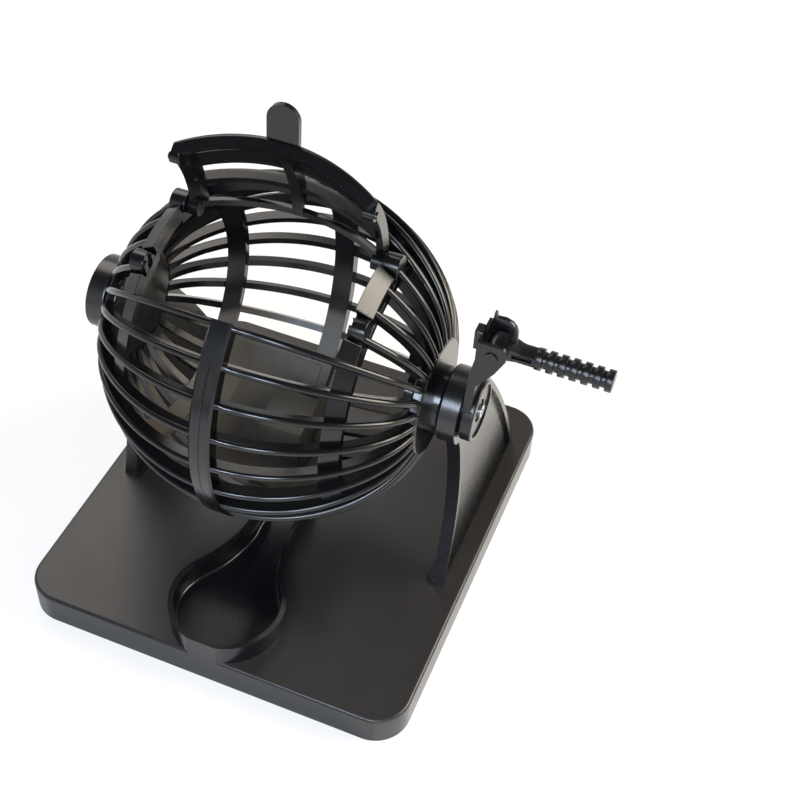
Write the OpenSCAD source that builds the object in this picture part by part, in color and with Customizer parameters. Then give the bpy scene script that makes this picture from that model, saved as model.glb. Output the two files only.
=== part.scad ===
/* [Cage] */
// Radius of the cage at its middle
cage_r = 75; // [60:0.5:90]
// How much flatter than a ball the long curve of a rib is
rib_flatten = 5; // [3:0.5:8]
// Number of ribs round the cage
rib_count = 30; // [24:2:36]
// Width of a rib
rib_w = 3; // [2.2:0.1:3.6]
// Depth of a rib
rib_d = 5.5; // [4.5:0.1:6.6]
// Width of one half of the middle band
band_half_w = 4.7; // [3.9:0.1:5.7]
// Width of the ring that ties the ribs beside the mouth
ring_w = 6.8; // [5.6:0.1:8.2]
// Half the width of the mouth
mouth_half = 43.2; // [36:0.1:48]
// Rib in front of the mouth, counted up from the horizontal front one
mouth_front_rib = 4; // [3:1:4]
// Rib behind the mouth, counted the same way
mouth_rear_rib = 9; // [8:1:9]
// Where the cage's axis lies, measured from the middle of the base to the back
cage_y = -17; // [-24:0.5:-10]
// Free height between the cage and the base
cage_lift = 44.5; // [37:0.5:56]

/* [Ball exit] */
// Radius of the balls
ball_r = 7; // [5.8:0.1:7.4]
// Free play round a ball in the exit hole and in the guide
ball_play = 1; // [0.6:0.1:1.4]
// Angle of the exit hole, counted up from the horizontal front
exit_a = 262; // [258:0.5:266]
// Thickness of the closed panel and the guide's walls
panel_t = 2; // [1.6:0.1:2.6]

/* [Hatch] */
// How far the hatch stands open in the rest position
hatch_open = 80; // [60:1:82]
// Width of the hatch's end bars
hatch_bar_w = 4.3; // [3.5:0.1:5.2]
// Width of the hatch's front rail
front_rail_w = 4.4; // [3.6:0.1:5.4]
// Length of the thumb tab
tab_len = 18; // [15:0.5:18]
// Width of the thumb tab
tab_w = 13.4; // [11:0.1:16]
// Thickness of the thumb tab
tab_t = 2.4; // [2:0.1:3]
// How far the thumb tab is turned outwards from the front rail
tab_lift = 43; // [26:1:45]

/* [Base] */
// Width of the base beside each stand
side_margin = 9.3; // [6:0.1:20]
// Depth of the base, front to back
base_d = 207; // [172:1:250]
// Height of the base
base_h = 16.5; // [13.5:0.5:20]
// Corner radius of the base
base_corner_r = 16.6; // [10:0.2:24]
// Radius of the rounded top edge
base_edge_r = 1.6; // [1:0.1:2.2]
// Thickness of the base's top plate
base_top_t = 2.4; // [2:0.1:3]
// Thickness of the skirt and the stiffening ribs
base_wall_t = 2.2; // [1.8:0.1:2.8]

/* [Ball tray] */
// Outer radius of the tray's round end
tray_r = 27.2; // [22.6:0.2:32.8]
// Outer half width of the tray's neck
neck_half = 11.3; // [10.6:0.1:13.6]
// Radius of the curve between the round end and the neck
tray_blend_r = 60; // [50:1:72]
// Height of the tray's wall above the base
tray_wall_h = 11.5; // [9.5:0.5:14]
// Thickness of the tray's wall
tray_wall_t = 2.4; // [2:0.1:3]
// Height of the slope and the lip under the exit hole
ramp_h = 1.4; // [1:0.1:1.6]

/* [Stands and pivots] */
// Width of a stand's head along the axis
head_w = 8.7; // [8:0.1:10.5]
// Radius of a stand's head
head_r = 16.5; // [15:0.1:19.8]
// Radius of the curve in front of a stand
stand_front_r = 154; // [128:1:185]
// Radius of the long curve behind a stand
stand_rear_r = 511; // [426:1:613]
// Where the rear foot ends, measured from the middle of the base
stand_rear_y = 80; // [67:1:90]
// Thickness of a stand's web
web_t = 1.8; // [1.5:0.1:2.2]
// Thickness of a stand's flange
flange_t = 2.6; // [2.2:0.1:3.2]
// Radius of the cage's journals
journal_r = 8; // [6.7:0.05:9.4]
// Radial clearance of a turning fit
run_fit = 0.05; // [0.02:0.01:0.1]
// Gap between parts that pass each other
gap = 0.4; // [0.3:0.05:0.5]

/* [Crank] */
// Distance from the cage's axis to the grip's pin
crank_r = 39; // [37:0.5:47]
// Width of the crank's arm
arm_w = 15.6; // [14.5:0.1:18.8]
// Radius of the crank's disc
crank_disc_r = 13.6; // [12.8:0.1:15.6]
// Radius of the grip's pin
grip_pin_r = 1.9; // [1.6:0.05:2.3]
// Distance from the grip's pin to the end of the grip
grip_len = 47.7; // [42:0.1:57]
// Radius of the grip's raised lands
land_r = 4.6; // [4:0.1:5.5]
// Number of raised lands
land_count = 7; // [6:1:8]

/* [Hidden] */
$fn = 48;
// Facets of the very long curves
long_fn = 720;

// Cage, worked out from its radius
rib_pitch = 360 / rib_count;
cage_z = base_h + cage_lift + cage_r;
stand_x = cage_r + 2;
hub_x = stand_x - 5;
hub_flange_r = 14.5;
rib_long_r = cage_r + rib_flatten;
rib_split_a = 50;
rib_end_a = 76.4;
rib_short_r = (hub_x - rib_long_r * sin(rib_split_a)) / (sin(rib_end_a) - sin(rib_split_a));
short_x = (rib_long_r - rib_short_r) * sin(rib_split_a);
short_r = (rib_long_r - rib_short_r) * cos(rib_split_a) - rib_flatten;
hub_cup_r = short_r + rib_short_r * cos(rib_end_a) + 0.6;
hub_cup_t = 5;
mouth_front_a = mouth_front_rib * rib_pitch;
mouth_rear_a = mouth_rear_rib * rib_pitch;
ring_x0 = mouth_half;
ring_x1 = mouth_half + ring_w;
ring_t = 3;
exit_r = ball_r + ball_play;
panel_front_a = 230;
panel_rear_a = 292;
seam_peg_r = 1.2;
seam_peg_len = 3;

// Hinge and latch of the hatch, seen along the cage's axis
hinge_a = mouth_rear_a - 11;
hinge_r = outer_r(mouth_half) - 4.8;
hinge_y = cage_y - hinge_r * cos(hinge_a);
hinge_z = cage_z + hinge_r * sin(hinge_a);
hinge_pin_r = 2;
knuckle_r = 4.5;
latch_a = mouth_front_a + 14.5;
latch_r = hinge_r + 0.5;
latch_y = cage_y - latch_r * cos(latch_a);
latch_z = cage_z + latch_r * sin(latch_a);
latch_peg_r = 1.5;
latch_peg_len = 1.1;
hatch_x = mouth_half - gap - 0.1;
hatch_front_a = mouth_front_a + rib_pitch;
hatch_rear_a = mouth_rear_a - rib_pitch;

// The rail beside the hinge and the middle bar stay low, to swing past the band behind the mouth
band_end_a = asin(rib_w / 2 / cage_r);
band_inner_r = cage_r - rib_d - 0.5;
corner_a = mouth_rear_a - band_end_a;
corner_y = cage_y - band_inner_r * cos(corner_a) - hinge_y;
corner_z = cage_z + band_inner_r * sin(corner_a) - hinge_z;
rail_turn = hinge_a - hatch_rear_a;
corner_reach = sqrt(corner_y * corner_y + corner_z * corner_z - pow(hinge_r * sin(rail_turn), 2));
rear_rail_drop = cage_r + gap - hinge_r * cos(rail_turn) - corner_reach;
turned_y = corner_y * cos(hatch_open) - corner_z * sin(hatch_open) + hinge_y - cage_y;
turned_z = corner_y * sin(hatch_open) + corner_z * cos(hatch_open) + hinge_z - cage_z;
mid_bar_r = norm([turned_y, turned_z]) - gap;

// Base, tray and stands
base_w = 2 * (stand_x + head_w + side_margin);
tray_y = tray_r - 0.9 - base_d / 2;
neck_end_y = cage_y + 14;
web_x = stand_x + 2.7;
stand_out_x = stand_x + head_w;
foot_x = web_x + 2;
foot_y = [cage_y + 8, stand_rear_y - 14];
foot_peg_r = 3.6;
boss_r = 5.2;
boss_floor_z = 3;
boss_floor_t = 2;
foot_peg_z = boss_floor_z + boss_floor_t + gap;
screw_r = 1.45;
screw_head_r = 2.9;
screw_head_h = 1.9;
counterbore_r = 11.4;
counterbore_t = 2.7;
journal_x1 = stand_out_x - counterbore_t + 0.3;

// Crank and grip
disc_x0 = stand_out_x + 0.6;
disc_x1 = disc_x0 + 5.4;
arm_x0 = stand_out_x + 2.5;
arm_t = 1.6;
arm_x1 = arm_x0 + arm_t;
neck_r = counterbore_r - gap;
spigot_w = 8;
spigot_x0 = journal_x1 - 7;
pin_x = arm_x1 + 4.8;
pin_z = cage_z + crank_r;
ear_t = 1.6;
ear_inner = arm_w / 2 - ear_t;
root_w = 8.8;
root_r = 4.2;
root_boss_r = 3.2;
shank_w = 7.2;
shank_h = 4.6;
land_pitch = 4.75;
land_w = 2.8;
land_x1 = pin_x + grip_len;
land_x0 = land_x1 - (land_count - 1) * land_pitch - land_w;
groove_r = land_r - 1.15;
nose_top_z = pin_z + 9.4;
nose_half = 2.9;
nose_y = cage_y - 2.4;

// Outer radius of a rib at the distance x from the middle
function outer_r(x) = sqrt(rib_long_r * rib_long_r - x * x) - rib_flatten;

// Frames: the cage's axis along local Z, and a station at angle a with local X pointing outwards
module on_axis() {
    translate([0, cage_y, cage_z]) rotate([0, 90, 0]) children();
}

module at_angle(a) {
    on_axis() rotate([0, 0, 270 - a]) children();
}

// A profile turned about the cage's axis from angle a0 up to angle a1
module turned(a0, a1) {
    on_axis() rotate([0, 0, 270 - a1]) rotate_extrude(angle = a1 - a0) children();
}

// A profile in the side view, extruded along the axis from x0 to x1
module side_slab(x0, x1) {
    translate([x0, 0, 0]) rotate([90, 0, 90]) linear_extrude(x1 - x0) children();
}

// A cylinder along the axis
module axial(r, x0, x1, y = cage_y, z = cage_z) {
    translate([x0, y, z]) rotate([0, 90, 0]) cylinder(r = r, h = x1 - x0);
}

// A disc along the axis with both of its edges rounded
module soft_disc(r, x0, x1, edge) {
    on_axis() translate([0, 0, x0]) rotate_extrude() {
        square([r - edge, x1 - x0]);
        translate([0, edge]) square([r, x1 - x0 - 2 * edge]);
        translate([r - edge, edge]) circle(edge);
        translate([r - edge, x1 - x0 - edge]) circle(edge);
    }
}

// Cage ribs: one section swept along a long curve and a tighter one beside the hub
module rib_section(w, d) {
    translate([-d, -w / 2]) square([d - w / 2, w]);
    translate([-w / 2, 0]) circle(d = w);
}

module rib_sweep(centre_r, centre_x, sweep_r, a0, a1, w, d) {
    translate([centre_r, 0, centre_x]) rotate([90, 0, 0]) rotate([0, 0, a0])
        rotate_extrude(angle = a1 - a0, $fn = long_fn) translate([sweep_r, 0]) rib_section(w, d);
}

// The tighter curve starts a little inside the end of the long one
module rib(from_a) {
    inset = 0.03;
    rib_sweep(-rib_flatten, 0, rib_long_r, from_a, rib_split_a, rib_w, rib_d);
    rib_sweep(short_r, short_x, rib_short_r - inset, rib_split_a - 1, rib_end_a,
              rib_w - 2 * inset, rib_d - 2 * inset);
}

module ribs() {
    ring_start_a = asin((ring_x0 + 0.3) / (rib_long_r - rib_d));
    for (k = [0 : rib_count - 1]) {
        in_mouth = k > mouth_front_rib && k < mouth_rear_rib;
        at_angle(k * rib_pitch) rib(in_mouth ? ring_start_a : 0);
    }
}

// Half of the middle band, which stops at both sides of the mouth
module half_band() {
    turned(mouth_rear_a - band_end_a, 360 + mouth_front_a + band_end_a) polygon([
        [band_inner_r, 0],
        [cage_r + 0.2, 0],
        [cage_r + 0.5, 0.4],
        [cage_r + 0.5, band_half_w - 0.9],
        [cage_r - 0.4, band_half_w],
        [band_inner_r, band_half_w]
    ]);
}

module ring() {
    turned(0, 360) polygon([
        [outer_r(ring_x0) - rib_d - ring_t, ring_x0],
        [outer_r(ring_x0) - rib_d + 0.6, ring_x0],
        [outer_r(ring_x1) - rib_d + 0.6, ring_x1],
        [outer_r(ring_x1) - rib_d - ring_t, ring_x1]
    ]);
}

// Cup that gathers the ribs, its flange and the journal that turns in the stand's head
module hub() {
    soft_disc(hub_cup_r, hub_x - hub_cup_t, hub_x, 1);
    axial(hub_flange_r, hub_x - 1, stand_x - gap);
    axial(journal_r - run_fit, hub_x, journal_x1);
}

// Closed panel between the ribs, from angle a0 to a1 and out to x1
module panel(a0, a1, x1) {
    steps = 4;
    outer = [for (i = [0 : steps]) [outer_r(x1 * i / steps) - rib_d + 0.5, x1 * i / steps]];
    inner = [for (i = [steps : -1 : 0]) [outer_r(x1 * i / steps) - rib_d + 0.5 - panel_t, x1 * i / steps]];
    turned(a0, a1) polygon(concat(outer, inner));
}

// Lug on a ring, with its foot widened down to the ring
module lug(a, r, lug_r) {
    at_angle(a) translate([r, 0, ring_x0 + 0.1]) cylinder(r = lug_r, h = ring_w - 0.4);
    at_angle(a) translate([r - 6, -lug_r - 1.4, ring_x0 + 0.15]) cube([4.5, 2 * lug_r + 2.8, ring_w - 0.5]);
    at_angle(a) translate([r - 3, -lug_r, ring_x0 + 0.1]) cube([3, 2 * lug_r, ring_w - 0.4]);
}

module cage_half_solid() {
    ribs();
    half_band();
    ring();
    hub();
    lug(hinge_a, hinge_r, knuckle_r);
    lug(latch_a, latch_r, knuckle_r - 0.5);
}

// Holes for the hatch's pins, the groove that guides its latch pegs, and the ball exit
module cage_half_cuts() {
    latch_swing_r = norm([latch_y - hinge_y, latch_z - hinge_z]);
    latch_swing_a = atan2(latch_z - hinge_z, latch_y - hinge_y);
    axial(hinge_pin_r, ring_x0 - 1, ring_x0 + 4.6, hinge_y, hinge_z);
    axial(latch_peg_r + 0.3, ring_x0 - 1, ring_x0 + 1.6, latch_y, latch_z);
    translate([ring_x0 - 1, hinge_y, hinge_z]) rotate([90, 0, 90]) rotate([0, 0, latch_swing_a - 16])
        rotate_extrude(angle = 16) translate([latch_swing_r - latch_peg_r - 0.3, 0])
            square([2 * latch_peg_r + 0.6, 2.1]);
    at_angle(exit_a) translate([cage_r - 14, 0, 0]) rotate([0, 90, 0]) cylinder(r = exit_r, h = 20);
}

module seam_pegs(r) {
    for (a = [mouth_rear_a + 2.5 * rib_pitch : 4 * rib_pitch : 359 + mouth_front_a])
        at_angle(a) translate([cage_r - rib_d / 2, 0, 0]) cylinder(r = r, h = seam_peg_len, center = true);
}

module cage_left_half() {
    color("#1b1b1d") {
        mirror([1, 0, 0]) difference() {
            union() {
                cage_half_solid();
                panel(panel_front_a, panel_rear_a, ring_x0 + 1);
            }
            cage_half_cuts();
            axial(screw_r + 0.05, hub_x - 10, stand_out_x);
        }
        difference() {
            seam_pegs(seam_peg_r);
            translate([-seam_peg_len, -cage_r * 2, 0]) cube([seam_peg_len, cage_r * 4, cage_r * 4]);
        }
    }
}

module cage_right_half() {
    color("#1b1b1d") difference() {
        union() {
            cage_half_solid();
            panel(panel_front_a + 7, panel_rear_a, 12);
            panel(252, panel_rear_a, 17.5);
            panel(264, panel_rear_a, 20);
            panel(276, panel_rear_a, 26);
            axial(hub_flange_r - 5, hub_x - 12, hub_x);
        }
        cage_half_cuts();
        seam_pegs(seam_peg_r + 0.1);
        translate([spigot_x0 - gap, cage_y - spigot_w / 2, cage_z - spigot_w / 2])
            cube([20, spigot_w, spigot_w]);
        axial(screw_r + 0.05, hub_x - 9, stand_out_x);
    }
}

// Guide inside the cage that lets one ball at a time reach the exit hole
module ball_guide() {
    wall_x = exit_r + 0.6;
    foot_w = 3;
    floor_r = outer_r(wall_x + panel_t + foot_w) - rib_d + 0.5 - panel_t - 0.25;
    cover_r = floor_r - 2 * exit_r + 0.6;
    entry_a = 243;
    stop_a = exit_a + 13;
    color("#232325") {
        for (x = [-wall_x - panel_t, wall_x])
            turned(entry_a, stop_a) translate([cover_r, x]) square([floor_r - cover_r, panel_t]);
        turned(entry_a + 6, stop_a) translate([cover_r - panel_t, -wall_x - panel_t])
            square([panel_t, 2 * (wall_x + panel_t)]);
        turned(stop_a - 2.4, stop_a) translate([cover_r, -wall_x]) square([floor_r - cover_r, 2 * wall_x]);
        for (x = [-wall_x - panel_t - foot_w, wall_x + panel_t - 0.5])
            turned(stop_a - 12, stop_a) translate([floor_r - panel_t, x]) square([panel_t, foot_w + 0.5]);
    }
}

// Hatch, drawn closed and then swung open about its hinge
module hatch_bar(x0, x1) {
    turned(hatch_front_a, hinge_a) polygon([
        [outer_r(x0) - rib_d, x0],
        [outer_r(x0), x0],
        [outer_r(x1), x1],
        [outer_r(x1) - rib_d, x1]
    ]);
}

module hatch_rail(a, w, drop = 0) {
    half_a = asin((hatch_x - 0.5) / rib_long_r);
    at_angle(a) rib_sweep(-rib_flatten, 0, rib_long_r - drop, -half_a, half_a, w, rib_d - drop);
}

module hatch_closed() {
    bar_x = hatch_x - hatch_bar_w;
    mid_half = 2.3;
    mid_bar_d = 0.4 * rib_d;
    hatch_rail(hatch_front_a, front_rail_w);
    for (k = [mouth_front_rib + 2 : mouth_rear_rib - 2]) hatch_rail(k * rib_pitch, rib_w);
    hatch_rail(hatch_rear_a, rib_w, rear_rail_drop);
    for (side = [0, 1]) mirror([side, 0, 0]) {
        hatch_bar(bar_x, hatch_x);
        axial(3.6, bar_x - 0.3, hatch_x + 0.1, hinge_y, hinge_z);
        axial(hinge_pin_r - run_fit, bar_x + 1, ring_x0 + 4, hinge_y, hinge_z);
        axial(2.6, bar_x - 0.2, hatch_x + 0.1, latch_y, latch_z);
        axial(latch_peg_r, bar_x + 1, hatch_x + latch_peg_len, latch_y, latch_z);
    }
    turned(hatch_front_a, hatch_rear_a - rib_pitch) translate([cage_r - rib_d, -mid_half])
        square([rib_d - 0.6, 2 * mid_half]);
    turned(hatch_front_a, hatch_rear_a) translate([mid_bar_r - mid_bar_d, -mid_half])
        square([mid_bar_d, 2 * mid_half]);
    at_angle(hatch_front_a) translate([cage_r - front_rail_w / 2, 0, 0]) rotate([0, 0, -tab_lift])
        translate([front_rail_w / 2 - tab_t, 0, 0]) rotate([0, 90, 0]) linear_extrude(tab_t) {
            translate([-tab_w / 2, 0]) square([tab_w, tab_len - tab_w / 2]);
            translate([0, tab_len - tab_w / 2]) circle(tab_w / 2);
        }
}

module hatch() {
    color("#1d1d1f") translate([0, hinge_y, hinge_z]) rotate([-hatch_open, 0, 0])
        translate([0, -hinge_y, -hinge_z]) hatch_closed();
}

// Base plate
module rounded_outline(w, d, r) {
    square([w - 2 * r, d], center = true);
    square([w, d - 2 * r], center = true);
    for (x = [-1, 1], y = [-1, 1]) translate([x * (w / 2 - r), y * (d / 2 - r)]) circle(r);
}

module edge_round() {
    intersection() {
        circle(base_edge_r);
        square(base_edge_r);
    }
}

module base_block() {
    e = base_edge_r;
    r = base_corner_r;
    linear_extrude(base_h - e) rounded_outline(base_w, base_d, r);
    linear_extrude(base_h) rounded_outline(base_w - 2 * e, base_d - 2 * e, r - e);
    translate([0, 0, base_h - e]) {
        for (side = [0, 1]) mirror([side, 0, 0]) translate([base_w / 2 - e, base_d / 2 - r, 0])
            rotate([90, 0, 0]) linear_extrude(base_d - 2 * r) edge_round();
        for (side = [0, 1]) mirror([0, side, 0]) translate([r - base_w / 2, base_d / 2 - e, 0])
            rotate([90, 0, 90]) linear_extrude(base_w - 2 * r) edge_round();
        for (sx = [0, 1], sy = [0, 1]) mirror([sx, 0, 0]) mirror([0, sy, 0])
            translate([base_w / 2 - r, base_d / 2 - r, 0])
                rotate_extrude(angle = 90) translate([r - e, 0]) edge_round();
    }
}

// Outline of the tray, drawn inset from its outer side: a round end, a blend and a neck. The blend cuts
// a hair into the round end, so that the two curves meet at a real corner
module tray_outline(inset) {
    r = tray_r - inset;
    half = neck_half - inset;
    blend = tray_blend_r + inset;
    blend_x = half + blend;
    reach = r + blend - 0.03;
    blend_y = tray_y + sqrt(reach * reach - blend_x * blend_x);
    share = (r - 0.015) / reach;
    touch = [blend_x * share, tray_y + (blend_y - tray_y) * share];
    translate([0, tray_y]) circle(r);
    translate([-half, tray_y]) square([2 * half, neck_end_y - tray_y]);
    translate([0, neck_end_y]) circle(half);
    difference() {
        polygon([[-touch[0], touch[1]], [touch[0], touch[1]], [half, blend_y], [-half, blend_y]]);
        for (side = [-1, 1]) translate([side * blend_x, blend_y]) circle(blend, $fn = long_fn);
    }
}

// The wall is cut flush with the base's front, and low at its back, where the open hatch's tab passes
module tray_wall() {
    wall_top = base_h + tray_wall_h;
    intersection() {
        translate([0, 0, base_h - base_edge_r]) linear_extrude(tray_wall_h + base_edge_r) difference() {
            tray_outline(0);
            tray_outline(tray_wall_t);
        }
        side_slab(-base_w / 2, base_w / 2) polygon([
            [-base_d / 2, 0],
            [-base_d / 2, wall_top],
            [neck_end_y - 12, wall_top],
            [neck_end_y + 2, base_h + ramp_h],
            [neck_end_y + 2 * neck_half, base_h + ramp_h],
            [neck_end_y + 2 * neck_half, 0]
        ]);
    }
}

// Slope under the exit hole that rolls a ball to the front
module tray_ramp() {
    ramp_y0 = cage_y + 7;
    intersection() {
        translate([0, 0, base_h - 1]) linear_extrude(tray_wall_h) tray_outline(tray_wall_t - 0.3);
        side_slab(-neck_half, neck_half) polygon([
            [ramp_y0, base_h],
            [neck_end_y + neck_half, base_h + ramp_h],
            [neck_end_y + neck_half, base_h - 1],
            [ramp_y0, base_h - 1]
        ]);
    }
}

module foot_places() {
    for (side = [-1, 1], y = foot_y) translate([side * foot_x, y, 0]) children();
}

module base() {
    t = base_wall_t;
    inner_h = base_h - base_top_t;
    color("#323130") difference() {
        union() {
            difference() {
                base_block();
                linear_extrude(inner_h) rounded_outline(base_w - 2 * t, base_d - 2 * t, base_corner_r - t);
            }
            for (x = [-2, -1, 0, 1, 2])
                translate([x * base_w / 6 - t / 2, -base_d / 2 + t / 2, x == 0 ? 0 : 1])
                    cube([t, base_d - t, inner_h]);
            for (y = [-2, -1, 0, 1, 2])
                translate([-base_w / 2 + t / 2, y * base_d / 6 - t / 2, y == 0 ? 0 : 1])
                    cube([base_w - t, t, inner_h]);
            foot_places() translate([0, 0, boss_floor_z - screw_head_h]) cylinder(r = boss_r, h = inner_h);
            tray_wall();
            tray_ramp();
        }
        foot_places() {
            translate([0, 0, boss_floor_z + boss_floor_t]) cylinder(r = foot_peg_r + 0.1, h = base_h);
            cylinder(r = screw_r + 0.25, h = base_h);
            cylinder(r = screw_head_r + 0.3, h = boss_floor_z);
        }
    }
}

// Stand: a web with a flange round it, a round head for the journal, and two pegs into the base
module stand_outline(inset) {
    head_to_foot = [stand_rear_y - cage_y, base_h - cage_z];
    span = norm(head_to_foot);
    along = head_to_foot / span;
    inner_rear = stand_rear_r - head_r;
    run = (inner_rear * inner_rear - stand_rear_r * stand_rear_r + span * span) / (2 * span);
    rise = sqrt(inner_rear * inner_rear - run * run);
    rear_centre = [cage_y, cage_z] + run * along + rise * [along[1], -along[0]];
    waist_z = base_h + 0.42 * (cage_z - base_h);
    intersection() {
        difference() {
            translate([cage_y - 20, base_h + inset])
                square([stand_rear_y - cage_y + 40, cage_z - base_h - inset]);
            translate([cage_y + 3 - stand_front_r, waist_z]) circle(stand_front_r + inset, $fn = long_fn);
        }
        translate(rear_centre) circle(stand_rear_r - inset, $fn = long_fn);
    }
    translate([cage_y, cage_z]) circle(head_r - inset);
}

module stand() {
    difference() {
        union() {
            side_slab(web_x, web_x + web_t) stand_outline(0);
            side_slab(web_x, stand_out_x) difference() {
                stand_outline(0);
                stand_outline(flange_t);
            }
            soft_disc(head_r, stand_x, stand_out_x, 1.2);
            translate([stand_x, cage_y - 4.5, base_h]) cube([head_w, 13, 3.4]);
            for (y = foot_y) translate([foot_x, y, foot_peg_z])
                cylinder(r = foot_peg_r, h = base_h + 3 - foot_peg_z);
        }
        axial(journal_r, stand_x - 1, stand_out_x + 1);
        axial(counterbore_r, stand_out_x - counterbore_t, stand_out_x + 1);
        for (y = foot_y) translate([foot_x, y, foot_peg_z - 1])
            cylinder(r = screw_r + 0.05, h = base_h - foot_peg_z);
    }
}

module left_stand() {
    color("#19191b") mirror([1, 0, 0]) stand();
}

module right_stand() {
    color("#19191b") stand();
}

// Cross-head screw, drawn pointing up with the underside of its head at z = 0
module screw(len) {
    slot_w = 0.8;
    difference() {
        translate([0, 0, -screw_head_h]) cylinder(r = screw_head_r, h = screw_head_h);
        for (turn = [0, 90]) rotate([0, 0, turn])
            translate([-slot_w / 2, -1.6, -screw_head_h - 0.1]) cube([slot_w, 3.2, 1]);
    }
    cylinder(r = screw_r, h = len);
}

module stand_screws() {
    color("silver") foot_places() translate([0, 0, boss_floor_z]) screw(base_h - boss_floor_z - 3);
}

// Cap that holds the left journal in its stand
module left_end_cap() {
    color("#19191b") mirror([1, 0, 0]) difference() {
        axial(counterbore_r - gap, journal_x1 + 0.02, stand_out_x - 0.2);
        axial(screw_r + 0.25, hub_x, stand_out_x + 1);
        axial(screw_head_r + 0.3, stand_out_x - 1.2, stand_out_x + 1);
    }
}

module left_cap_screw() {
    color("silver") translate([-stand_out_x + 1.2, cage_y, cage_z]) rotate([0, 90, 0]) screw(14);
}

// Crank arm: a disc on the journal, a plate up to the grip's ears and a nose beside the snap hook
module arm_outline() {
    tip_half = arm_w / 2;
    translate([cage_y, cage_z]) circle(crank_disc_r - 1);
    polygon([
        [cage_y - crank_disc_r + 1, cage_z],
        [cage_y + crank_disc_r - 1, cage_z],
        [cage_y + tip_half, cage_z + 22],
        [cage_y + tip_half, pin_z + 6.2],
        [cage_y - tip_half, pin_z + 6.2],
        [cage_y - tip_half, cage_z + 22]
    ]);
}

// The back of the arm thickens from below the ears down to the disc
module arm_back() {
    intersection() {
        side_slab(disc_x0, arm_x0 + 0.5) arm_outline();
        translate([0, cage_y + arm_w, 0]) rotate([90, 0, 0]) linear_extrude(2 * arm_w) polygon([
            [disc_x0, cage_z],
            [disc_x0, pin_z - 14],
            [arm_x0, pin_z - 3],
            [arm_x0 + 0.5, pin_z - 3],
            [arm_x0 + 0.5, cage_z]
        ]);
    }
}

module nose_outline() {
    translate([nose_y - nose_half, pin_z]) square([2 * nose_half, nose_top_z - pin_z - 1]);
    translate([nose_y - nose_half + 1, pin_z]) square([2 * nose_half - 2, nose_top_z - pin_z]);
    for (side = [-1, 1]) translate([nose_y + side * (nose_half - 1), nose_top_z - 1]) circle(1);
}

module ear_outline() {
    translate([arm_x0, pin_z]) {
        polygon([[0, -18], [1.6, -18], [8.4, -8.3], [12.4, 0], [12.4, 3.4], [9.6, 6.2], [0, 6.2]]);
        translate([9.6, 3.4]) circle(2.8);
    }
}

module crank_arm() {
    slot_r = 1.1;
    color("#1b1b1d") difference() {
        union() {
            soft_disc(crank_disc_r, disc_x0, disc_x1, 0.8);
            axial(neck_r, journal_x1 + 0.02, disc_x0 + 1);
            translate([spigot_x0, cage_y - spigot_w / 2 + 0.1, cage_z - spigot_w / 2 + 0.1])
                cube([disc_x0 - spigot_x0 + 1, spigot_w - 0.2, spigot_w - 0.2]);
            side_slab(arm_x0, arm_x1) arm_outline();
            arm_back();
            for (y = [cage_y - arm_w / 2, cage_y + ear_inner]) translate([0, y + ear_t, 0])
                rotate([90, 0, 0]) linear_extrude(ear_t) ear_outline();
            side_slab(stand_out_x + gap + 0.1, arm_x1 - 0.4) nose_outline();
        }
        axial(crank_disc_r - 1.8, disc_x1 - 0.8, disc_x1 + 1);
        axial(screw_r + 0.25, spigot_x0 - 1, disc_x1 + 1);
        axial(5.2, disc_x1 - 2.4, disc_x1 + 1);
        for (a = [0, 180]) turned(a + 8, a + 52)
            translate([8.3 - slot_r, disc_x1 - 3]) square([2 * slot_r, 4]);
        translate([pin_x, cage_y + arm_w, pin_z]) rotate([90, 0, 0])
            cylinder(r = grip_pin_r + 0.02, h = 2 * arm_w);
    }
}

module crank_washer() {
    color("silver") difference() {
        axial(4.8, disc_x1 - 2.38, disc_x1 - 1.6);
        axial(screw_r + 0.25, disc_x0, disc_x1);
    }
}

module crank_screw() {
    color("silver") translate([disc_x1 - 1.58, cage_y, cage_z]) rotate([0, -90, 0]) screw(26);
}

// Grip: a root between the ears, a shank with a channel in each side, ribbed lands and a snap hook
module grip_side() {
    translate([pin_x, pin_z]) {
        circle(root_r);
        polygon([
            [0, -root_r],
            [3, -root_r],
            [6, -shank_h / 2],
            [land_x0 - pin_x + 1, -shank_h / 2],
            [land_x0 - pin_x + 1, shank_h / 2],
            [11, shank_h / 2],
            [4.4, root_r],
            [0, root_r]
        ]);
    }
}

module grip_plan() {
    translate([pin_x, cage_y]) for (side = [0, 1]) mirror([0, side]) polygon([
        [-root_r - 1, 0],
        [land_x0 - pin_x + 1, 0],
        [land_x0 - pin_x + 1, shank_w / 2],
        [9, shank_w / 2],
        [5, root_w / 2],
        [-root_r - 1, root_w / 2]
    ]);
}

module hook_outline() {
    translate([pin_x, pin_z]) polygon([
        [7.4, 1.5],
        [7.2, 7.9],
        [6.3, 10.6],
        [4.3, 12.6],
        [1.5, 13.5],
        [-1.7, 13.2],
        [-2.3, 15.6],
        [-3.1, 15.5],
        [-3.3, 12.6],
        [-4.4, 9],
        [-3.6, 8.4],
        [-2.2, 9.3],
        [1.2, 9.5],
        [3.2, 8.5],
        [4.4, 5.6],
        [4.6, 1.5]
    ]);
}

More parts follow.
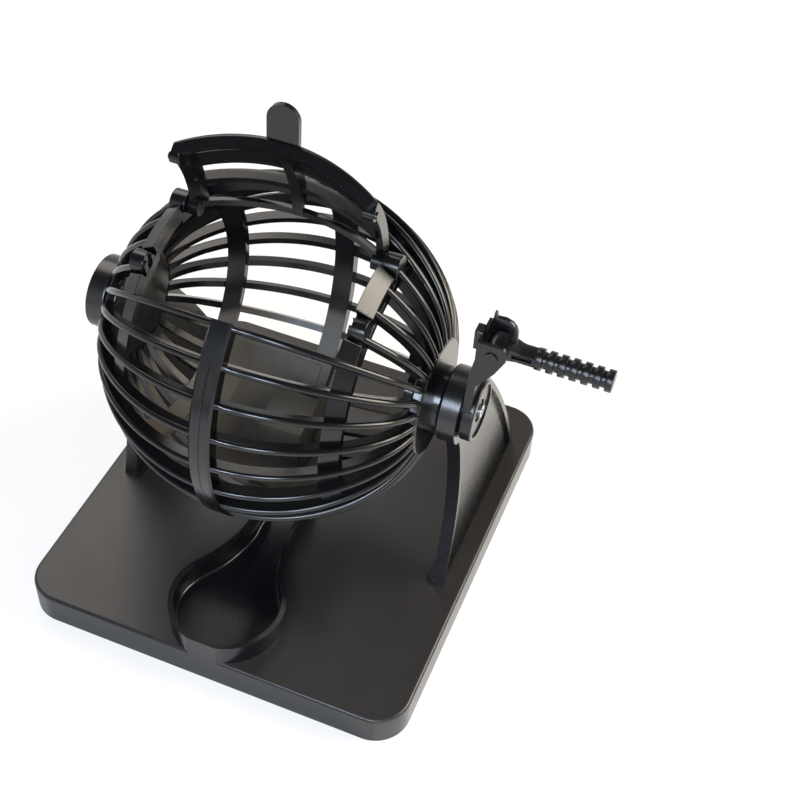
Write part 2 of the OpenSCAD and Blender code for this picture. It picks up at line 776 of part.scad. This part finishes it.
module grip() {
    hook_w = 2;
    channel_x = [pin_x + 7, land_x0 - 1.2];
    color("#1b1b1d") difference() {
        union() {
            intersection() {
                translate([0, cage_y + root_w, 0]) rotate([90, 0, 0]) linear_extrude(2 * root_w) grip_side();
                translate([0, 0, pin_z - 10]) linear_extrude(20) grip_plan();
            }
            translate([pin_x, cage_y + ear_inner - gap, pin_z]) rotate([90, 0, 0])
                cylinder(r = root_boss_r, h = 2 * (ear_inner - gap));
            axial(groove_r, land_x0, land_x1 - 0.5, cage_y, pin_z);
            for (i = [0 : land_count - 1])
                axial(land_r, land_x0 + i * land_pitch, land_x0 + i * land_pitch + land_w, cage_y, pin_z);
            translate([0, cage_y + hook_w + 1.1, 0]) rotate([90, 0, 0])
                linear_extrude(hook_w) hook_outline();
        }
        for (side = [0, 1]) translate([0, cage_y, 0]) mirror([0, side, 0])
            translate([channel_x[0], shank_w / 2 - 1.5, pin_z - 0.7])
                cube([channel_x[1] - channel_x[0], 2, 2.2]);
        translate([pin_x, cage_y + arm_w, pin_z]) rotate([90, 0, 0])
            cylinder(r = grip_pin_r + run_fit, h = 2 * arm_w);
    }
}

module grip_pin() {
    color("silver") translate([pin_x, cage_y + arm_w / 2 - 0.2, pin_z]) rotate([90, 0, 0])
        cylinder(r = grip_pin_r, h = arm_w - 0.4);
}

base();
left_stand();
right_stand();
stand_screws();
cage_left_half();
cage_right_half();
ball_guide();
hatch();
left_end_cap();
left_cap_screw();
crank_arm();
crank_screw();
crank_washer();
grip();
grip_pin();
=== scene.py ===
import math

import bpy
from mathutils import Matrix, Vector


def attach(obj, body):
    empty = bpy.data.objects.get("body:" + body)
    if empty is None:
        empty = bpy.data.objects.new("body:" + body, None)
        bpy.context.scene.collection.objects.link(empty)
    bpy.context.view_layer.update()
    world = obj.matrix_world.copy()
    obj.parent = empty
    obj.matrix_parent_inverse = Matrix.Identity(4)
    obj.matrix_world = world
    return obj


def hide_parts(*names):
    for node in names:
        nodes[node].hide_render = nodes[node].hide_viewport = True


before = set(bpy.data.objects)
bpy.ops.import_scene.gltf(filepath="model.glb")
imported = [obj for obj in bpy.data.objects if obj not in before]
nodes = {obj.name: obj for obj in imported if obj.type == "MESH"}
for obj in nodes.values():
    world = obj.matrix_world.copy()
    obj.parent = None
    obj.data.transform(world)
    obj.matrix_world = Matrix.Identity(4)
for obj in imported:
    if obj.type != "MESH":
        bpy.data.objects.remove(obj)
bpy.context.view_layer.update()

# Sizes shared with the CAD, in metres
CAGE_CENTRE = (0, -0.017, 0.136)
RIB_ARC_R = 0.08  # radius of a rib's long arc, which is set in towards the axis
RIB_SET_IN = 0.005
BASE_TOP = 0.0165
WEB_X = 0.0815  # outer face of a stand's web
TRAY_Y_MM = -77.2  # centre of the tray's round end
TRAY_R_MM = 27.2  # outside radius of the tray's wall there
TRAY_BLEND_MM = 60  # radius that leads from the round end into the neck
TRAY_NECK_MM = 11.3  # half the neck's outside width
TRAY_WALL_MM = 2.4
FOOT_START_Y, FOOT_END_Y = -0.0992, -0.0098  # between them the foot of the tray's inner wall has its fillet
TRAY_END_Y = 0.012  # behind the neck's end
RIM_X, RIM_Y = 0.0935, 0.1026  # beyond them the base's steep faces belong to its rim


# Camera: the place, aim and lens from which the machine was photographed
def aim_camera():
    azimuth = math.radians(19.01)
    elevation = math.radians(46.46)
    roll = math.radians(4.02)
    back = Vector((math.sin(azimuth) * math.cos(elevation), -math.cos(azimuth) * math.cos(elevation),
                   math.sin(elevation)))
    side = (-back).cross(Vector((0, 0, 1))).normalized()
    up = side.cross(-back)
    turned_side = math.cos(roll) * side + math.sin(roll) * up
    turned_up = -math.sin(roll) * side + math.cos(roll) * up
    data = bpy.data.cameras.new("camera")
    data.lens = 61.65
    data.sensor_width = 36
    data.clip_start = 0.02
    data.clip_end = 20
    camera = bpy.data.objects.new("camera", data)
    pose = Matrix((turned_side, turned_up, back)).transposed().to_4x4()
    pose.translation = Vector((0.18637, -0.39601, 0.54878))
    camera.matrix_world = pose
    bpy.context.scene.collection.objects.link(camera)
    bpy.context.scene.camera = camera


# Colours are written as sRGB hex and turned to linear here
def linear(hex_colour):
    channels = [int(hex_colour[i:i + 2], 16) / 255 for i in (1, 3, 5)]
    return tuple(c / 12.92 if c <= 0.04045 else ((c + 0.055) / 1.055) ** 2.4 for c in channels) + (1.0,)


# Adds a node with its settings, and its inputs as values or as links from another node's output
def add(tree, kind, settings=None, **inputs):
    node = tree.nodes.new(kind)
    for name, value in (settings or {}).items():
        setattr(node, name, value)
    for name, value in inputs.items():
        socket = node.inputs[int(name[1:]) if name[0] == "i" and name[1:].isdigit() else name.replace("_", " ")]
        if isinstance(value, bpy.types.NodeSocket):
            tree.links.new(value, socket)
        else:
            socket.default_value = value
    return node


# An empty node tree of a new material
def new_material(name):
    material = bpy.data.materials.new(name)
    material.use_nodes = True
    material.node_tree.nodes.clear()
    return material, material.node_tree


# Black moulded plastic: two close tones of the pigment, a slow change of gloss, fine grain and light scuffs.
# Where a panel tone is given, a duller finish takes over inside the cage's panel, and with it a lighter brown-grey
# colour that is painted light, standing in for the light that falls in through the mouth. The shine is a little under
# that of
def moulded_plastic(name, dark, light, gloss, gloss_change, grain_mm, grain_depth_mm, scuff, painted_panel_light=None,
                    shine=0.36):
    material, tree = new_material(name)
    place = add(tree, "ShaderNodeTexCoord").outputs["Object"]
    # Slow flow of the pigment, about 30 mm from tone to tone
    flow = add(tree, "ShaderNodeTexNoise", Vector=place, Scale=1000 / 30, Detail=4.0, Roughness=0.6).outputs["Fac"]
    tone = add(tree, "ShaderNodeMix", {"data_type": "RGBA"}, Factor=flow, i6=linear(dark), i7=linear(light)).outputs[2]
    # Handling marks: thin stretched noise, about 0.8 mm across, kept only where it peaks
    stretched = add(tree, "ShaderNodeMapping", Vector=place, Scale=(1.0, 0.22, 1.0), Rotation=(0.3, 0.2, 0.9))
    marks = add(tree, "ShaderNodeTexNoise", Vector=stretched.outputs[0], Scale=1000 / 0.8, Detail=2.0)
    peaks = add(tree, "ShaderNodeMapRange", Value=marks.outputs["Fac"], From_Min=0.62, From_Max=0.78,
                To_Min=0.0, To_Max=scuff)
    wander = add(tree, "ShaderNodeMapRange", Value=flow, From_Min=0.3, From_Max=0.7,
                 To_Min=gloss - gloss_change, To_Max=gloss + gloss_change)
    rough = add(tree, "ShaderNodeMath", {"operation": "ADD"}, i0=wander.outputs[0], i1=peaks.outputs[0]).outputs[0]
    # Painted light: the panel's colour is lifted to a light brown-grey that stands in for light falling on it; its
    # duller roughness is the real finish
    if painted_panel_light:
        inside = inside_panel(tree, place)
        tone = add(tree, "ShaderNodeMix", {"data_type": "RGBA"}, Factor=inside, i6=tone,
                   i7=linear(painted_panel_light)).outputs[2]
        rough = add(tree, "ShaderNodeMapRange", Value=inside, To_Min=rough, To_Max=0.42).outputs[0]
    # Grain left by the mould's surface
    grain = add(tree, "ShaderNodeTexNoise", Vector=place, Scale=1000 / grain_mm, Detail=2.0, Roughness=0.6)
    bump = add(tree, "ShaderNodeBump", Strength=0.6, Distance=grain_depth_mm / 1000, Height=grain.outputs["Fac"])
    shader = add(tree, "ShaderNodeBsdfPrincipled", Base_Color=tone, Roughness=rough,
                 Normal=bump.outputs[0], IOR=1.53, Specular_IOR_Level=shine)
    add(tree, "ShaderNodeOutputMaterial", Surface=shader.outputs[0])
    return material


# 1 on the panel, where the duller finish and the painted light go: from 5.4 to 5.8 mm under the ribs' outer curve
# inwards, and from 30 to 34 mm below the axis down
def inside_panel(tree, place):
    axis = add(tree, "ShaderNodeVectorMath", {"operation": "SUBTRACT"}, i0=place, i1=CAGE_CENTRE).outputs[0]
    parts = add(tree, "ShaderNodeSeparateXYZ", Vector=axis)
    across = add(tree, "ShaderNodeCombineXYZ", Y=parts.outputs[1], Z=parts.outputs[2]).outputs[0]
    radius = add(tree, "ShaderNodeVectorMath", {"operation": "LENGTH"}, i0=across).outputs["Value"]
    squared = add(tree, "ShaderNodeMath", {"operation": "MULTIPLY"},
                  i0=parts.outputs[0], i1=parts.outputs[0]).outputs[0]
    rest = add(tree, "ShaderNodeMath", {"operation": "SUBTRACT"}, i0=RIB_ARC_R ** 2, i1=squared).outputs[0]
    arc = add(tree, "ShaderNodeMath", {"operation": "SQRT"}, i0=rest).outputs[0]
    depth = add(tree, "ShaderNodeMath", {"operation": "SUBTRACT"}, i0=arc, i1=radius).outputs[0]
    deep = add(tree, "ShaderNodeMapRange", Value=depth, From_Min=0.0104, From_Max=0.0108).outputs[0]
    low = add(tree, "ShaderNodeMapRange", Value=parts.outputs[2], From_Min=-0.030, From_Max=-0.034).outputs[0]
    return add(tree, "ShaderNodeMath", {"operation": "MULTIPLY"}, i0=deep, i1=low).outputs[0]


# Zinc-plated steel: bluish grey, with a fine mottle in tone, roughness and height
def zinc_steel():
    material, tree = new_material("zinc_plated_steel")
    place = add(tree, "ShaderNodeTexCoord").outputs["Object"]
    mottle = add(tree, "ShaderNodeTexNoise", Vector=place, Scale=1000 / 1.2, Detail=4.0).outputs["Fac"]
    tone = add(tree, "ShaderNodeMix", {"data_type": "RGBA"}, Factor=mottle, i6=linear("#a9adb2"), i7=linear("#c6c8ca"))
    rough = add(tree, "ShaderNodeMapRange", Value=mottle, From_Min=0.3, From_Max=0.7, To_Min=0.24, To_Max=0.38)
    bump = add(tree, "ShaderNodeBump", Strength=0.4, Distance=0.00003, Height=mottle)
    shader = add(tree, "ShaderNodeBsdfPrincipled", Base_Color=tone.outputs[2], Roughness=rough.outputs[0],
                 Normal=bump.outputs[0], Metallic=1.0)
    add(tree, "ShaderNodeOutputMaterial", Surface=shader.outputs[0])
    return material


def give(material, *names):
    for name in names:
        for slot in nodes[name].material_slots:
            slot.material = material


# Spark-eroded mould face: satin, grain about 0.35 mm
base_abs = moulded_plastic("base_satin_abs", "#1e1c1b", "#22201f", 0.40, 0.02, 0.35, 0.012, 0.08, shine=0.5)
# The base's rim and the tray come from polished steel: clearer reflections. The rim's tone is also darker than the
# top's, a painted shade on the base's steep side faces; the tray is a darker, slightly bluish black
rim_painted_shade_abs = moulded_plastic("rim_gloss_painted_shade_abs", "#121213", "#151516", 0.22, 0.02, 0.9, 0.004, 0.08)
tray_abs = moulded_plastic("tray_gloss_abs", "#0c0c0f", "#101013", 0.22, 0.02, 1.2, 0.005, 0.10)
# Polished mould face: clear reflections with a slight waviness
stand_abs = moulded_plastic("stand_gloss_abs", "#0c0c0d", "#0f0f10", 0.28, 0.02, 1.6, 0.0012, 0.04, shine=0.5)
# The cage's last tone is painted light on its panel, much lighter than the black pigment
cage_abs = moulded_plastic("cage_gloss_and_painted_panel_light_abs", "#0a0a0b", "#0d0d0e", 0.19, 0.02, 1.2, 0.005, 0.08, "#57524a", shine=0.38)
# Ball guide: black plastic painted a light brown-grey, a painted light that stands in for the light falling into the
# cage
guide_painted_light_abs = moulded_plastic("guide_gloss_painted_light_abs", "#3d3a34", "#46423b", 0.34, 0.04, 0.9, 0.006, 0.06)
crank_abs = moulded_plastic("crank_gloss_abs", "#0c0c0d", "#101011", 0.28, 0.02, 0.9, 0.002, 0.03)
steel = zinc_steel()

give(base_abs, "base")
give(stand_abs, "left_stand", "right_stand", "left_end_cap")
give(cage_abs, "cage_left_half", "cage_right_half", "hatch")
give(guide_painted_light_abs, "ball_guide")
give(crank_abs, "crank_arm", "grip", "grip_pin")
give(steel, "stand_screws", "left_cap_screw", "crank_screw", "crank_washer")


# A merged copy of a CAD piece's mesh, with its flat areas back in one face each
def merged_copy(name):
    bpy.ops.object.select_all(action="DESELECT")
    piece = nodes[name].copy()
    piece.data = nodes[name].data.copy()
    piece.name = name + "_softened"
    bpy.context.scene.collection.objects.link(piece)
    piece.parent = None
    piece.matrix_world = Matrix.Identity(4)
    bpy.context.view_layer.objects.active = piece
    piece.select_set(True)
    bpy.ops.object.mode_set(mode="EDIT")
    bpy.ops.mesh.select_all(action="SELECT")
    bpy.ops.mesh.remove_doubles(threshold=0.000002)
    bpy.ops.mesh.dissolve_limited(angle_limit=math.radians(0.6))
    bpy.ops.object.mode_set(mode="OBJECT")
    return piece


# The edges whose two ends pass the test are selected, and edit mode is on
def select_edges(piece, wanted):
    bpy.ops.object.mode_set(mode="EDIT")
    bpy.ops.mesh.select_all(action="DESELECT")
    bpy.ops.mesh.select_mode(type="EDGE")
    bpy.ops.object.mode_set(mode="OBJECT")
    points = piece.data.vertices
    for edge in piece.data.edges:
        edge.select = wanted([points[i].co for i in edge.vertices])
    bpy.ops.object.mode_set(mode="EDIT")


# Moulded pieces have no sharp edge: every hard edge gets a small radius, which catches a line of light
def round_edges(piece, radius_mm, flats_count=True, turn=32.0):
    soften = piece.modifiers.new("edge_radius", "BEVEL")
    soften.width = radius_mm / 1000
    soften.segments = 2
    soften.limit_method = "ANGLE"
    soften.angle_limit = math.radians(turn)
    soften.use_clamp_overlap = True
    bpy.ops.object.modifier_apply(modifier=soften.name)
    if not flats_count:
        bpy.ops.object.shade_smooth_by_angle(angle=math.radians(turn))
        return
    bpy.ops.object.shade_smooth()
    flats = piece.modifiers.new("flat_areas", "WEIGHTED_NORMAL")
    flats.mode = "FACE_AREA"
    flats.weight = 80
    bpy.ops.object.modifier_apply(modifier=flats.name)


def stand_for(piece, name, body):
    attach(piece, body)
    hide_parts(name)


def edge_softened(name, body, radius_mm, material, flats_count=True, web_out_mm=0.0):
    piece = merged_copy(name)
    # A stand's web lies this much nearer the flange's rim, so that the recess is as shallow as on the real one
    if web_out_mm:
        for point in piece.data.vertices:
            if abs(abs(point.co.x) - WEB_X) < 0.00003:
                point.co.x += math.copysign(web_out_mm / 1000, point.co.x)
    round_edges(piece, radius_mm, flats_count)
    piece.data.materials.clear()
    piece.data.materials.append(material)
    stand_for(piece, name, body)


# Half the tray's width between its walls at y, in metres: a round end, a blend and a straight neck
def tray_half_width(y, inset_mm=TRAY_WALL_MM):
    y *= 1000
    round_r, blend_r = TRAY_R_MM - inset_mm, TRAY_BLEND_MM + inset_mm
    neck = TRAY_NECK_MM - inset_mm
    blend_y = TRAY_Y_MM + math.sqrt((round_r + blend_r) ** 2 - (neck + blend_r) ** 2)
    joint_y = TRAY_Y_MM + (blend_y - TRAY_Y_MM) * round_r / (round_r + blend_r)
    if y < joint_y:
        return math.sqrt(max(0.0, round_r ** 2 - (y - TRAY_Y_MM) ** 2)) / 1000
    if y < blend_y:
        return (neck + blend_r - math.sqrt(blend_r ** 2 - (y - blend_y) ** 2)) / 1000
    return neck / 1000


# True on the line where the tray's inner wall meets its floor
def on_inner_foot(p):
    ahead = p.y - TRAY_Y_MM / 1000
    if ahead < -0.012:
        return abs(math.hypot(p.x, ahead) - (TRAY_R_MM - TRAY_WALL_MM) / 1000) < 0.0005
    return abs(abs(p.x) - tray_half_width(p.y)) < 0.0005


# The base: a fillet at the foot of the tray's inner wall, softened edges, and three mould finishes, the rim's with a
# painted shade
def softened_base():
    piece = merged_copy("base")
    select_edges(piece, lambda ends: all(
        abs(p.z - BASE_TOP) < 2e-5 and FOOT_START_Y < p.y < FOOT_END_Y and on_inner_foot(p) for p in ends))
    bpy.ops.mesh.bevel(offset=0.0022, offset_type="OFFSET", segments=5, profile=0.5, clamp_overlap=False)
    bpy.ops.object.mode_set(mode="OBJECT")
    round_edges(piece, 0.4)
    piece.data.materials.clear()
    for material in (base_abs, rim_painted_shade_abs, tray_abs):
        piece.data.materials.append(material)
    for face in piece.data.polygons:
        at, way = face.center, face.normal
        corners = [piece.data.vertices[i].co for i in face.vertices]
        # Steep side faces take the rim finish, whose darker tone is painted shade
        if (abs(at.x) > RIM_X or abs(at.y) > RIM_Y) and abs(way.z) < 0.8:
            face.material_index = 1
        elif all(c.z > BASE_TOP - 0.0001 and c.y < TRAY_END_Y and abs(c.x) < tray_half_width(c.y, -0.3)
                 for c in corners) and (
                at.z > BASE_TOP + 0.0001 or all(abs(c.x) < tray_half_width(c.y) + 0.0002 for c in corners)):
            face.material_index = 2
        else:
            face.material_index = 0
    stand_for(piece, "base", "frame")


# The way from the cage's axis at an angle in degrees: 0 to the front, 90 up
def outward_at(a):
    return Vector((0, -math.cos(math.radians(a)), math.sin(math.radians(a))))


# The flat face that closes the rib ends between the two lugs on each side of the mouth
def ring_face(name, side, first_a, last_a):
    x0, x1 = 0.04317, 0.0500
    depth, proud = 0.0050, 0.00012

    def outer(x):
        return math.sqrt(RIB_ARC_R ** 2 - x ** 2) - RIB_SET_IN

    bpy.ops.object.select_all(action="DESELECT")
    bpy.ops.mesh.primitive_plane_add(size=0.01, location=(0, 0, 0))
    piece = bpy.context.object
    piece.name = name
    corners = [(x, outer(x) + step) for step in (-depth, proud) for x in (x0, x1)]
    for point, (x, r) in zip(piece.data.vertices, corners):
        point.co = Vector((side * x, 0, 0)) + Vector(CAGE_CENTRE) + outward_at(first_a) * r
    bpy.ops.object.mode_set(mode="EDIT")
    bpy.ops.mesh.select_all(action="SELECT")
    bpy.ops.mesh.spin(steps=16, angle=math.radians(last_a - first_a), center=CAGE_CENTRE, axis=(1, 0, 0),
                      use_auto_merge=False)
    bpy.ops.mesh.select_all(action="SELECT")
    bpy.ops.mesh.normals_make_consistent(inside=False)
    bpy.ops.object.mode_set(mode="OBJECT")
    round_edges(piece, 0.35)
    piece.data.materials.append(cage_abs)
    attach(piece, "cage")


# A knuckle on a ring: a flat-sided block with a half-round top, which covers the hinge's or latch's own lug
def knuckle(name, side, inner_x, a, r, half_mm):
    outer_x, foot_mm = 0.05028, 4.5
    half, foot = half_mm / 1000, foot_mm / 1000
    outward = outward_at(a)
    centre = Vector((side * (inner_x + outer_x) / 2, 0, 0)) + Vector(CAGE_CENTRE) + outward * (r + (half - foot) / 2)
    bpy.ops.object.select_all(action="DESELECT")
    bpy.ops.mesh.primitive_cube_add(size=1, location=centre, rotation=(math.radians(90 - a), 0, 0),
                                    scale=(outer_x - inner_x, 2 * half, half + foot))
    bpy.ops.object.transform_apply(location=True, rotation=True, scale=True)
    piece = bpy.context.object
    piece.name = name
    select_edges(piece, lambda ends: abs(ends[0].x - ends[1].x) > 0.003 and all(
        (p - centre).dot(outward) > 0 for p in ends))
    bpy.ops.mesh.bevel(offset=half * 0.98, offset_type="OFFSET", segments=10, profile=0.5, clamp_overlap=True)
    bpy.ops.object.mode_set(mode="OBJECT")
    round_edges(piece, 0.4)
    piece.data.materials.append(cage_abs)
    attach(piece, "cage")


# The hinge pin's upset head on the front ear: a low round button with a dished middle
def pin_head():
    bpy.ops.object.select_all(action="DESELECT")
    bpy.ops.mesh.primitive_cylinder_add(vertices=40, radius=0.0027, depth=0.0012, location=(0.0946, -0.0249, 0.175),
                                        rotation=(math.radians(90), 0, 0))
    bpy.ops.object.transform_apply(location=True, rotation=True, scale=True)
    piece = bpy.context.object
    piece.name = "grip_pin_head"
    bpy.ops.object.mode_set(mode="EDIT")
    bpy.ops.mesh.select_all(action="DESELECT")
    bpy.ops.mesh.select_mode(type="FACE")
    bpy.ops.object.mode_set(mode="OBJECT")
    for face in piece.data.polygons:
        face.select = face.normal.y < -0.9
    bpy.ops.object.mode_set(mode="EDIT")
    bpy.ops.mesh.inset(thickness=0.0008)
    bpy.ops.transform.translate(value=(0, 0.0003, 0))
    bpy.ops.object.mode_set(mode="OBJECT")
    round_edges(piece, 0.2)
    piece.data.materials.append(crank_abs)
    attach(piece, "cage")


edge_softened("crank_arm", "cage", 0.25, crank_abs)
pin_head()
edge_softened("grip", "grip", 0.3, crank_abs, flats_count=False)
edge_softened("hatch", "hatch", 0.3, cage_abs)
edge_softened("right_stand", "frame", 0.35, stand_abs, web_out_mm=1.9)
edge_softened("left_stand", "frame", 0.35, stand_abs, web_out_mm=1.9)
softened_base()
for side, word in ((-1, "left"), (1, "right")):
    ring_face(word + "_ring_face_rear", side, 68.0, 90.0)
    ring_face(word + "_ring_face_front", side, 49.0, 57.0)
    knuckle(word + "_hinge_knuckle", side, 0.04345, 97.0, 0.0577, 5.2)
    knuckle(word + "_latch_knuckle", side, 0.04435, 62.5, 0.0582, 4.7)


# Studio: a white floor, pale walls under a dim ceiling, and four soft lamps
def studio():
    bpy.ops.object.select_all(action="DESELECT")
    bpy.ops.mesh.primitive_plane_add(size=8, location=(0, 0, 0))
    floor = bpy.context.object
    floor.name = "floor"
    floor.data.materials.append(white_paper())
    bpy.context.scene.world = pale_room()
    lamp("front_right", (0.22, -0.95, 0.72), (0, 0, 0.08), (0.24, 0.50), 9, "#dceaff")
    lamp("front_left", (-0.14, -1.00, 0.85), (0, 0, 0.08), (0.14, 0.40), 7, "#d8e8ff")
    lamp("right", (1.00, 0.45, 0.75), (0.25, 0.15, 0.02), (0.80, 0.70), 24, "#fff4e4")
    lamp("left_back", (-0.60, 0.60, 1.10), (0, 0, 0.08), (0.70, 0.70), 6, "#fff8f0")


# Uncoated paper: matt and warm white. What looks at it straight sees most of its own white, what sees it mirrored
# sees a quarter of that, and the rest carries the lamps' light and the machine's shadow
def white_paper():
    material, tree = new_material("white_paper")
    path = add(tree, "ShaderNodeLightPath")
    mirrored = add(tree, "ShaderNodeMath", {"operation": "MAXIMUM"},
                   i0=path.outputs["Is Glossy Ray"], i1=path.outputs["Is Transmission Ray"])
    mirrored = add(tree, "ShaderNodeMath", {"operation": "MULTIPLY"}, i0=mirrored.outputs[0], i1=0.25)
    straight = add(tree, "ShaderNodeMath", {"operation": "MULTIPLY"}, i0=path.outputs["Is Camera Ray"], i1=0.7)
    share = add(tree, "ShaderNodeMath", {"operation": "MAXIMUM"}, i0=straight.outputs[0], i1=mirrored.outputs[0])
    paper = add(tree, "ShaderNodeBsdfDiffuse", Color=linear("#fcfaf6"))
    glow = add(tree, "ShaderNodeEmission", Color=(1, 1, 1, 1), Strength=1.0)
    mix = add(tree, "ShaderNodeMixShader", i0=share.outputs[0], i1=paper.outputs[0], i2=glow.outputs[0])
    add(tree, "ShaderNodeOutputMaterial", Surface=mix.outputs[0])
    return material


# The room: white to about seven degrees above the table, falling to a dim ceiling at about 38 degrees
def pale_room():
    world = bpy.data.worlds.new("pale_room")
    world.use_nodes = True
    tree = world.node_tree
    tree.nodes.clear()
    way = add(tree, "ShaderNodeTexCoord").outputs["Generated"]
    height = add(tree, "ShaderNodeSeparateXYZ", Vector=way).outputs[2]
    level = add(tree, "ShaderNodeMapRange", {"interpolation_type": "SMOOTHSTEP"}, Value=height,
                From_Min=0.12, From_Max=0.62, To_Min=1.0, To_Max=0.10)
    room = add(tree, "ShaderNodeBackground", Color=(1, 1, 1, 1), Strength=level.outputs[0])
    add(tree, "ShaderNodeOutputWorld", Surface=room.outputs[0])
    return world


def lamp(name, place, aim, size, watts, tint):
    data = bpy.data.lights.new(name, "AREA")
    data.shape = "RECTANGLE"
    data.size, data.size_y = size
    data.energy = watts
    data.color = linear(tint)[:3]
    light = bpy.data.objects.new(name, data)
    light.location = place
    light.rotation_euler = (Vector(aim) - Vector(place)).to_track_quat("-Z", "Y").to_euler()
    bpy.context.scene.collection.objects.link(light)


aim_camera()
studio()
bpy.context.scene.view_settings.view_transform = "Standard"
